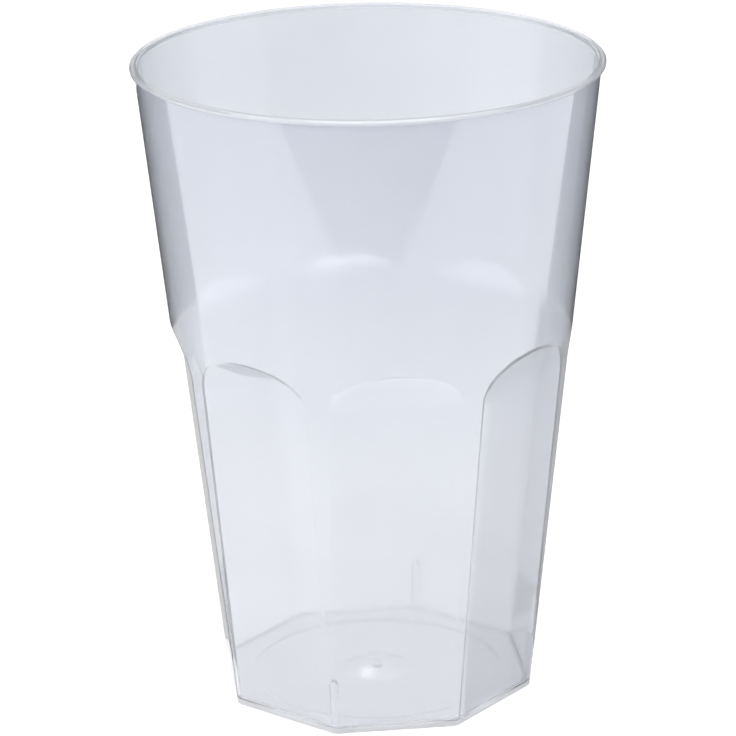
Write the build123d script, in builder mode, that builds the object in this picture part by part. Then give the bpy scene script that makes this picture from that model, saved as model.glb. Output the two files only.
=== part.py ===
"""Moulded plastic tumbler: a round, tapered mouth above an eight-sided body.

One moulded piece with a thin, even wall. Eight flat facets are pressed into the tapered body,
each closed at its top by a hollow shoulder that meets the round wall in an arch. Round lands run
down between the facets and narrow towards the foot, and the inside follows the outside all the
way. Stacking ribs stand on the floor in alternate corners. The floor is raised on a narrow foot
and has a small domed well with the moulding mark at its centre.

Frame: +Z is up, the origin is the centre of the base on the surface that the cup stands on,
and one facet faces along -Y. Millimetres.
"""

import math
import os

from build123d import *

# Overall sizes
cup_height = 119.0
rim_diameter = 85.1
base_across_lands = 58.8
wall = 0.7

# Bead around the rim
bead_reach = 0.7
bead_height = 0.9
bead_top_chamfer = 0.35
bead_foot_chamfer = 0.25
lip_chamfer = 0.2

# Facets, the lands between them and the arched shoulders above them
facet_count = 8
facet_height = 63.9
arch_rise = 7.6
land_width_foot = 1.0
land_width_top = 4.4
land_round = 1.2
shoulder_sweep = 60

# Floor and foot
floor_thickness = 0.8
floor_corner_round = 0.8
foot_height = 0.4
foot_edge_chamfer = 0.3
recess_diameter = 46.0

# Domed well with the moulding mark
well_diameter = 13.0
well_depth = 0.8
nub_diameter = 2.0
nub_height = 0.5

# Stacking ribs
rib_width = 1.3
rib_reach = 1.0
rib_height = 9.6

# How far a cutting shape runs past the surface that it cuts
overrun = 5.0

# Sizes that follow from those above
rim_radius = rim_diameter / 2
mouth_radius = rim_radius - bead_reach
base_radius = base_across_lands / 2
taper = (mouth_radius - base_radius) / cup_height
facet_angle = 360 / facet_count
corner_angle = facet_angle / 2
rib_count = facet_count // 2
floor_top = foot_height + floor_thickness
arch_height = facet_height + arch_rise
dome_radius = ((well_diameter / 2) ** 2 + well_depth**2) / (2 * well_depth)


def across(depth, slope):
    """How far a sloping surface moves sideways when it moves in by a depth along its normal."""
    return depth / math.cos(math.atan(slope))


def cone_radius(height, depth=0):
    """Radius at a height of the round wall, or of the surface that lies a depth inside it."""
    return base_radius + taper * height - across(depth, taper)


def facet_distance(height, land_width):
    """Distance at a height from the axis to a facet that leaves a land of some width between facets."""
    land_angle = math.asin(land_width / 2 / cone_radius(height))
    return cone_radius(height) * math.cos(math.radians(corner_angle) - land_angle)


facet_base = facet_distance(0, land_width_foot)
facet_top = facet_distance(facet_height, land_width_top)
facet_slope = (facet_top - facet_base) / facet_height

# Round of the shoulder, which leaves the facet smoothly and meets the round wall at the arch's crown
facet_depth = cone_radius(arch_height) - facet_base - facet_slope * arch_height
shoulder_round = (arch_rise**2 + facet_depth**2) / (2 * facet_depth)


def faceted_form(depth, bottom, top):
    """Solid bounded by the surface that lies a depth inside the cup's outside, with sharp arrises."""

    def facet_at(height):
        return facet_base + facet_slope * height - across(depth, facet_slope)

    # The facet's inside ends a little above its outside, on the same centre of the shoulder's round
    end = facet_height + depth * math.sin(math.atan(facet_slope))
    low = bottom - overrun

    # Wedge outside one facet and its shoulder
    with BuildPart() as wedge:
        with BuildSketch(Plane.XZ):
            with BuildLine():
                facet_line = Line((facet_at(low), low), (facet_at(end), end))
                shoulder = JernArc(
                    facet_line @ 1, facet_line % 1, shoulder_round + depth, -shoulder_sweep
                )
                crest = shoulder @ 1
                far = crest.X + overrun
                Polyline(crest, (far, crest.Y), (far, low), facet_line @ 0)
            make_face()
        extrude(amount=cone_radius(top), both=True)

    # Round form with the wedges taken off
    with BuildPart() as form:
        with BuildSketch(Plane.XZ):
            with BuildLine():
                Polyline(
                    (0, bottom),
                    (cone_radius(bottom, depth), bottom),
                    (cone_radius(top, depth), top),
                    (0, top),
                    close=True,
                )
            make_face()
        revolve(axis=Axis.Z)
        with PolarLocations(0, facet_count):
            add(wedge.part, mode=Mode.SUBTRACT)
    return form.part


def arches_and_lands(form):
    """Edges where facets and shoulders meet the round wall, the only ones not straight or circles."""
    return form.edges().filter_by(lambda edge: edge.geom_type not in (GeomType.LINE, GeomType.CIRCLE))


# Space inside the cup
with BuildPart() as cavity:
    add(faceted_form(wall, floor_top, cup_height + overrun))
    fillet(arches_and_lands(cavity), land_round - wall)
    fillet(cavity.edges().group_by(Axis.Z)[0], floor_corner_round)

# One stacking rib, standing on the floor, round-topped and leaning with the wall of its corner
with BuildPart() as rib:
    lean = math.atan(taper)
    rib_face = Plane(
        origin=(cone_radius(floor_top, wall) - rib_reach, 0, floor_top),
        x_dir=(0, 1, 0),
        z_dir=(math.cos(lean), 0, -math.sin(lean)),
    )
    rib_side = rib_width / 2
    rib_shoulder = rib_height - rib_side
    rib_sink = floor_thickness / 2
    with BuildSketch(rib_face):
        with BuildLine():
            Polyline(
                (-rib_side, rib_shoulder),
                (-rib_side, -rib_sink),
                (rib_side, -rib_sink),
                (rib_side, rib_shoulder),
            )
            CenterArc((0, rib_shoulder), rib_side, 0, 180)
        make_face()
    extrude(amount=rib_reach + wall / 2)

# Low dome of the well, standing on the base plane
with BuildPart() as dome:
    crown = (0, well_depth)
    rim_of_well = (well_diameter / 2, 0)
    with BuildSketch(Plane.XZ):
        with BuildLine():
            Polyline(crown, (0, 0), rim_of_well)
            RadiusArc(rim_of_well, crown, -dome_radius)
        make_face()
    revolve(axis=Axis.Z)

# Whole cup
with BuildPart() as cup:
    add(faceted_form(0, 0, cup_height))
    fillet(arches_and_lands(cup), land_round)
    chamfer(cup.edges().group_by(Axis.Z)[0], foot_edge_chamfer)

    # Rim bead
    with BuildSketch(Plane.XZ) as bead:
        with BuildLine():
            Polyline(
                (mouth_radius - wall, cup_height - bead_height),
                (rim_radius, cup_height - bead_height),
                (rim_radius, cup_height),
                (mouth_radius - wall, cup_height),
                close=True,
            )
        make_face()
        outer_corners = bead.vertices().group_by(Axis.X)[-1].sort_by(Axis.Y)
        chamfer(outer_corners[0], bead_foot_chamfer)
        chamfer(outer_corners[1], bead_top_chamfer)
    revolve(axis=Axis.Z)

    # Hollow
    add(cavity.part, mode=Mode.SUBTRACT)
    chamfer(cup.edges().group_by(Axis.Z)[-1].sort_by(SortBy.RADIUS)[0], lip_chamfer)

    # Ribs
    with PolarLocations(0, rib_count, start_angle=corner_angle + facet_angle):
        add(rib.part)

    # Dome on the floor above the well
    with Locations((0, 0, floor_top)):
        add(dome.part)

    # Recess inside the foot
    with BuildSketch(Plane.XY):
        Circle(recess_diameter / 2)
    extrude(amount=foot_height, mode=Mode.SUBTRACT)

    # Well under the dome, with the mark left by moulding
    with Locations((0, 0, foot_height)):
        add(dome.part, mode=Mode.SUBTRACT)
    with BuildSketch(Plane.XY.offset(foot_height + well_depth - nub_height)):
        Circle(nub_diameter / 2)
    extrude(amount=nub_height + floor_thickness / 2)

    cup.part.label = "cup"

os.makedirs("parts", exist_ok=True)
export_step(cup.part, "parts/cup.step")
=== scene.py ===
import math

import bpy
from mathutils import Matrix, Vector


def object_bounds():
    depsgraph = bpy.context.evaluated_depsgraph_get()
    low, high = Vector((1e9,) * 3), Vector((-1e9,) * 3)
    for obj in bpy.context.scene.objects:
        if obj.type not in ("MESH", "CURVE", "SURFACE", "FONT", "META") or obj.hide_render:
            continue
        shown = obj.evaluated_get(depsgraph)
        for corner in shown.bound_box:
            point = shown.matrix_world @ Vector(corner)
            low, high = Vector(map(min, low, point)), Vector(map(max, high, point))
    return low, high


MM = 0.001
IMAGE_SIDE = 736

# Camera, worked out from the photograph's outline and from the far side seen through the cup
CAMERA_AZIMUTH = -6.9
CAMERA_ELEVATION = 19.24
CAMERA_DISTANCE = 688.3 * MM
CAMERA_ROLL = -0.891
FOCAL_PIXELS = 3747.7
CENTRE_SHIFT_PIXELS = (4.46, 5.09)
SENSOR_WIDTH = 36.0
NEAREST_SEEN = 10 * MM

# Plastic: its tint from the foot up to the rim, and how clear the wall, the bead and the foot's edge are
FOOT_COLOR = (0.95, 0.963, 1.0, 1.0)
RIM_COLOR = (0.80, 0.825, 0.885, 1.0)
BEAD_COLOR = (0.82, 0.84, 0.89, 1.0)
RIM_TINT_SPAN = (25 * MM, 119 * MM)
BEAD_SPAN = (118.0 * MM, 118.15 * MM)
EDGE_SPAN = (1.3 * MM, 1.15 * MM)
EDGE_FACING_SPAN = (0.95, 0.85)
PLASTIC_IOR = 1.49
FOOT_TRANSMISSION, RIM_TRANSMISSION = 0.80, 0.765
BEAD_CLARITY, EDGE_CLARITY = 0.75, 0.6
PLASTIC_ROUGHNESS = (0.05, 0.11)
STREAK_SCALE = (160.0, 160.0, 12.0)
STREAK_DETAIL = 4.0
STREAK_RANGE = (0.3, 0.7)
STREAK_DEPTH = 0.004 * MM

# Studio floor and world
WHITE = (1.0, 1.0, 1.0, 1.0)
WORLD_LEVEL = 0.53
FLOOR_COLOR = (0.38, 0.38, 0.38, 1.0)
FLOOR_ROUGHNESS = 0.9
FLOOR_HALF_SIDE = 3.0
FLOOR_GLOW = 0.74
FLOOR_BOUNCE = 0.5
FLOOR_DROP = 0.05 * MM

# Lamps: the place and the two sides of each in metres, and its power in watts
LAMPS = (
    ("left_softbox", (-0.75, -0.15, 0.42), 0.5, 0.4, 2.6),
    ("right_softbox", (0.74, 0.1, 0.33), 0.35, 0.35, 1.3),
    ("front_softbox", (-0.05, -0.8, 0.75), 0.8, 0.4, 4.1),
    ("top_softbox", (0.0, -0.3, 0.9), 0.6, 0.4, 2.0),
    ("back_softbox", (0.02, 0.75, 0.62), 0.1, 0.2, 0.35),
)

# Painted reflections: cards that only reflections show, the dark ones painting shade and the cup's shadow
# on the floor, the bright ones painting highlights. The number of flats in each, and its two edges, each
# with a span of angles from the camera's side in degrees, a radius and a height in millimetres, and a tone
ROUND, FLAT = 24, 1
PAINTED_REFLECTIONS = {
    # Tall dark cards at the sides: painted dark reflections on the wall's edges
    "left_painted_dark_reflection": (ROUND, ((-165, -105), 200, 0, 0.03), ((-165, -112), 200, 200, 0.03)),
    "right_painted_dark_reflection": (ROUND, ((106, 165), 200, 0, 0.03), ((117, 165), 200, 200, 0.03)),
    # Grey mats on the floor behind the cup: painted shade in the wall's reflections
    "left_back_painted_shade": (ROUND, ((-165, -103), 33, 0.7, 0.65), ((-165, -105), 200, 0.7, 0.65)),
    "right_back_painted_shade": (ROUND, ((128, 165), 33, 0.7, 0.3), ((106, 165), 200, 0.7, 0.3)),
    # Cards behind the cup, darker upward: painted shade on the cup's inner floor, seen in its reflection
    "back_painted_shade": (ROUND, ((150, 210), 200, 62, 1.0), ((150, 210), 200, 82, 0.5)),
    "back_high_painted_shade": (ROUND, ((150, 210), 200, 82, 0.5), ((150, 210), 200, 130, 0.5)),
    # Grey card in front: painted shade on the middle of the upper wall
    "front_painted_shade": (ROUND, ((-12, 12), 200, 0, 0.55), ((-60, 60), 200, 80, 0.55)),
    # Panels brighter than white: painted highlights on the wall's sides
    "left_painted_highlight": (ROUND, ((-105, -12), 200, 0, 1.55), ((-112, -60), 200, 80, 1.55)),
    "right_painted_highlight": (ROUND, ((12, 106), 200, 0, 1.55), ((60, 117), 200, 80, 1.55)),
    # Dark card above the front: painted shade in the mouth's reflections
    "mouth_painted_shade": (ROUND, ((-60, 60), 200, 80, 0.1), ((-60, 60), 200, 150, 0.1)),
    # Dark mats on the floor beside the cup: painted shadow of the cup right of it, and painted shade on the
    # arches' ramps
    "right_painted_shadow_near": (ROUND, ((33, 74), 29, 0.5, 0.1), ((78, 91), 59, 0.5, 0.1)),
    "right_painted_shadow_far": (ROUND, ((78, 91), 59, 0.5, 0.1), ((96.5, 110), 150, 0.5, 0.1)),
    "right_painted_shadow_top": (ROUND, ((96.5, 110), 150, 0.5, 0.1), ((101, 114), 200, 0.5, 0.1)),
    "right_arch_painted_shade": (ROUND, ((98, 140), 33, 0.6, 0.15), ((104, 140), 200, 0.6, 0.1)),
    "left_arch_painted_shade": (ROUND, ((-125, -83), 36, 0.5, 0.05), ((-125, -83), 80, 0.5, 0.05)),
    # Bright cards on the floor in front and beside the arches: painted highlights on the lower wall and the
    # arches' ramps
    "front_painted_highlight": (ROUND, ((-25, 38), 30, 0.5, 1.6), ((-10, 30), 105, 0.5, 1.0)),
    "arch_painted_highlight": (FLAT, ((-13, 27), 36.2, 64.3, 1.4), ((-13, 27), 43, 64.3, 2.4)),
}


def camera_axes(azimuth, elevation):
    """Right, up and back directions of a camera that looks at the axis from those angles."""
    a, e = math.radians(azimuth), math.radians(elevation)
    back = Vector((math.sin(a) * math.cos(e), -math.cos(a) * math.cos(e), math.sin(e)))
    right = Vector((math.cos(a), math.sin(a), 0.0))
    return right, back.cross(right), back


def add_camera(centre):
    """Camera at the photograph's viewing angle, turned a little to put the cup where it is there."""
    right, up, back = camera_axes(CAMERA_AZIMUTH, CAMERA_ELEVATION)
    place = centre + back * CAMERA_DISTANCE
    per_pixel = CAMERA_DISTANCE / FOCAL_PIXELS
    x, y = CENTRE_SHIFT_PIXELS
    aim = centre - right * x * per_pixel + up * y * per_pixel
    back = (place - aim).normalized()
    right = up.cross(back).normalized()
    up = back.cross(right)
    turn = Matrix((right, up, back)).transposed() @ Matrix.Rotation(math.radians(CAMERA_ROLL), 3, "Z")
    data = bpy.data.cameras.new("camera")
    data.sensor_width = SENSOR_WIDTH
    data.lens = FOCAL_PIXELS / IMAGE_SIDE * SENSOR_WIDTH
    data.clip_start = NEAREST_SEEN
    camera = bpy.data.objects.new("camera", data)
    camera.matrix_world = Matrix.Translation(place) @ turn.to_4x4()
    bpy.context.scene.collection.objects.link(camera)
    bpy.context.scene.camera = camera


def new_material(name):
    """An empty node material and its node tree."""
    material = bpy.data.materials.new(name)
    material.use_nodes = True
    return material, material.node_tree


def map_range(tree, value, source, target, kind="LINEAR"):
    """Node output that carries a value from one range to another and stops at its ends."""
    node = tree.nodes.new("ShaderNodeMapRange")
    node.interpolation_type = kind
    node.inputs["From Min"].default_value, node.inputs["From Max"].default_value = source
    node.inputs["To Min"].default_value, node.inputs["To Max"].default_value = target
    tree.links.new(value, node.inputs["Value"])
    return node.outputs["Result"]


def multiply(tree, first, second):
    """Node output that is the product of two others."""
    node = tree.nodes.new("ShaderNodeMath")
    node.operation = "MULTIPLY"
    tree.links.new(first, node.inputs[0])
    tree.links.new(second, node.inputs[1])
    return node.outputs[0]


def mix_colors(tree, factor, first, second):
    """Node output between two colours. The first one may be an output of another node."""
    node = tree.nodes.new("ShaderNodeMix")
    node.data_type = "RGBA"
    tree.links.new(factor, node.inputs["Factor"])
    if isinstance(first, tuple):
        node.inputs["A"].default_value = first
    else:
        tree.links.new(first, node.inputs["A"])
    node.inputs["B"].default_value = second
    return node.outputs["Result"]


def plastic_streaks(tree, place):
    """Faint upright streaks, such as the flow of the plastic leaves in the mould."""
    stretch = tree.nodes.new("ShaderNodeMapping")
    stretch.inputs["Scale"].default_value = STREAK_SCALE
    tree.links.new(place, stretch.inputs["Vector"])
    noise = tree.nodes.new("ShaderNodeTexNoise")
    noise.inputs["Scale"].default_value = 1.0
    noise.inputs["Detail"].default_value = STREAK_DETAIL
    tree.links.new(stretch.outputs["Vector"], noise.inputs["Vector"])
    return noise.outputs["Fac"]


def foot_edge(tree, height):
    """Node output that is 1 on the low edge around the foot and 0 on its level surfaces."""
    facing = tree.nodes.new("ShaderNodeSeparateXYZ")
    tree.links.new(tree.nodes.new("ShaderNodeNewGeometry").outputs["Normal"], facing.inputs[0])
    level = tree.nodes.new("ShaderNodeMath")
    level.operation = "ABSOLUTE"
    tree.links.new(facing.outputs["Z"], level.inputs[0])
    upright = map_range(tree, level.outputs[0], EDGE_FACING_SPAN, (0.0, 1.0))
    return multiply(tree, upright, map_range(tree, height, EDGE_SPAN, (0.0, 1.0)))


def plastic_material():
    """Clear, slightly milky polypropylene, a little greyer towards the rim, with faint flow streaks."""
    material, tree = new_material("translucent_plastic")
    shader = tree.nodes["Principled BSDF"]
    shader.inputs["IOR"].default_value = PLASTIC_IOR
    place = tree.nodes.new("ShaderNodeTexCoord").outputs["Object"]
    split = tree.nodes.new("ShaderNodeSeparateXYZ")
    tree.links.new(place, split.inputs[0])
    height = split.outputs["Z"]

    rise = map_range(tree, height, RIM_TINT_SPAN, (0.0, 1.0), "SMOOTHSTEP")
    clear = map_range(tree, rise, (0.0, 1.0), (FOOT_TRANSMISSION, RIM_TRANSMISSION))
    clear = multiply(tree, clear, map_range(tree, height, BEAD_SPAN, (1.0, BEAD_CLARITY)))
    clear = multiply(tree, clear, map_range(tree, foot_edge(tree, height), (0.0, 1.0), (1.0, EDGE_CLARITY)))
    tree.links.new(clear, shader.inputs["Transmission Weight"])
    color = mix_colors(tree, rise, FOOT_COLOR, RIM_COLOR)
    color = mix_colors(tree, map_range(tree, height, BEAD_SPAN, (0.0, 1.0)), color, BEAD_COLOR)
    tree.links.new(color, shader.inputs["Base Color"])

    streaks = plastic_streaks(tree, place)
    rough = map_range(tree, streaks, STREAK_RANGE, PLASTIC_ROUGHNESS)
    tree.links.new(rough, shader.inputs["Roughness"])
    bump = tree.nodes.new("ShaderNodeBump")
    bump.inputs["Distance"].default_value = STREAK_DEPTH
    tree.links.new(streaks, bump.inputs["Height"])
    tree.links.new(bump.outputs["Normal"], shader.inputs["Normal"])
    return material


def seen_directly(tree):
    """Node output that is 1 for what the camera sees straight, in a reflection or through the plastic."""
    path = tree.nodes.new("ShaderNodeLightPath")
    total = path.outputs["Is Camera Ray"]
    for name in ("Is Glossy Ray", "Is Transmission Ray"):
        most = tree.nodes.new("ShaderNodeMath")
        most.operation = "MAXIMUM"
        tree.links.new(total, most.inputs[0])
        tree.links.new(path.outputs[name], most.inputs[1])
        total = most.outputs[0]
    straight = tree.nodes.new("ShaderNodeMath")
    straight.operation = "LESS_THAN"
    straight.inputs[1].default_value = 0.5
    tree.links.new(path.outputs["Diffuse Depth"], straight.inputs[0])
    return multiply(tree, total, straight.outputs[0])


def white_world():
    """World that is white where it is seen, and lights the scene at a plain level."""
    world = bpy.data.worlds.new("studio")
    bpy.context.scene.world = world
    world.use_nodes = True
    tree = world.node_tree
    background = tree.nodes["Background"]
    background.inputs["Color"].default_value = WHITE
    level = map_range(tree, seen_directly(tree), (0.0, 1.0), (WORLD_LEVEL, 1.0))
    tree.links.new(level, background.inputs["Strength"])


def floor_material():
    """Pale floor that is white where it is lit and keeps the cup's shadow."""
    material, tree = new_material("floor")
    shader = tree.nodes["Principled BSDF"]
    shader.inputs["Base Color"].default_value = FLOOR_COLOR
    shader.inputs["Roughness"].default_value = FLOOR_ROUGHNESS
    shader.inputs["Emission Color"].default_value = WHITE
    glow = map_range(tree, seen_directly(tree), (0.0, 1.0), (FLOOR_BOUNCE, FLOOR_GLOW))
    tree.links.new(glow, shader.inputs["Emission Strength"])
    return material


def add_mesh(name, corners, faces, material):
    """A staged mesh object made from corners and faces."""
    mesh = bpy.data.meshes.new(name)
    mesh.from_pydata([tuple(corner) for corner in corners], [], faces)
    mesh.materials.append(material)
    piece = bpy.data.objects.new(name, mesh)
    bpy.context.scene.collection.objects.link(piece)
    return piece


def add_floor():
    """Square floor just under the cup's foot."""
    signs = ((-1, -1), (1, -1), (1, 1), (-1, 1))
    corners = [(x * FLOOR_HALF_SIDE, y * FLOOR_HALF_SIDE, -FLOOR_DROP) for x, y in signs]
    add_mesh("floor", corners, [(0, 1, 2, 3)], floor_material())


def painted_reflection_material():
    """Painted reflection: a card of its own tone that shows only in reflections on the plastic, painting
    shade or highlights there, and lets all other light through.
    """
    material, tree = new_material("painted_reflection")
    tree.nodes.remove(tree.nodes["Principled BSDF"])
    path = tree.nodes.new("ShaderNodeLightPath")
    clear = tree.nodes.new("ShaderNodeBsdfTransparent")
    # The card's tone: dark for painted shade and shadow, above one for painted highlights
    painted_reflection = tree.nodes.new("ShaderNodeEmission")
    tone = tree.nodes.new("ShaderNodeAttribute")
    tone.attribute_name = "tone"
    tree.links.new(tone.outputs["Fac"], painted_reflection.inputs["Strength"])
    choice = tree.nodes.new("ShaderNodeMixShader")
    tree.links.new(path.outputs["Glossy Depth"], choice.inputs["Fac"])
    tree.links.new(clear.outputs[0], choice.inputs[1])
    tree.links.new(painted_reflection.outputs[0], choice.inputs[2])
    tree.links.new(choice.outputs[0], tree.nodes["Material Output"].inputs["Surface"])
    return material


def add_painted_reflection(name, flats, edges, material):
    """A card that paints a reflection, bent around the cup in a number of flats between two edges."""
    right, up, back = camera_axes(CAMERA_AZIMUTH, 0.0)
    corners, tones = [], []
    for i in range(flats + 1):
        for (start, stop), radius, height, tone in edges:
            angle = math.radians(start + (stop - start) * i / flats)
            outward = back * math.cos(angle) + right * math.sin(angle)
            corners.append((outward * radius + up * height) * MM)
            tones.append(tone)
    faces = [(2 * i, 2 * i + 2, 2 * i + 3, 2 * i + 1) for i in range(flats)]
    painted_reflection = add_mesh(name, corners, faces, material)
    painted_reflection.data.attributes.new("tone", "FLOAT", "POINT").data.foreach_set("value", tones)
    painted_reflection.visible_camera = painted_reflection.visible_diffuse = painted_reflection.visible_shadow = False


def add_softbox(name, place, target, width, height, power):
    """A large soft lamp that faces a target."""
    data = bpy.data.lights.new(name, "AREA")
    data.shape = "RECTANGLE"
    data.size, data.size_y = width, height
    data.energy = power
    lamp = bpy.data.objects.new(name, data)
    turn = (place - target).to_track_quat("Z", "Y").to_matrix().to_4x4()
    lamp.matrix_world = Matrix.Translation(place) @ turn
    bpy.context.scene.collection.objects.link(lamp)


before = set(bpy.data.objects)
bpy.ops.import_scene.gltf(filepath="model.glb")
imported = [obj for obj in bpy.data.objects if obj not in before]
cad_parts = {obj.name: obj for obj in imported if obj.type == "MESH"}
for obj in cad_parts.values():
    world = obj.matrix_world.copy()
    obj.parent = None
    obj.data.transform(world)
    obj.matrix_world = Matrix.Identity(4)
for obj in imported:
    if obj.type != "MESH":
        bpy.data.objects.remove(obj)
cad_low, cad_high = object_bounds()
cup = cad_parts["cup"]
cup.data.materials.clear()
cup.data.materials.append(plastic_material())

centre = Vector((0.0, 0.0, (cad_low[2] + cad_high[2]) / 2))
add_camera(centre)
white_world()
add_floor()
for name, place, width, height, power in LAMPS:
    add_softbox(name, Vector(place), centre, width, height, power)
# Cards that paint reflections: shade, the cup's shadow on the floor, and highlights
painted_reflection_look = painted_reflection_material()
for name, (flats, *edges) in PAINTED_REFLECTIONS.items():
    add_painted_reflection(name, flats, edges, painted_reflection_look)

bpy.context.scene.view_settings.view_transform = "Standard"
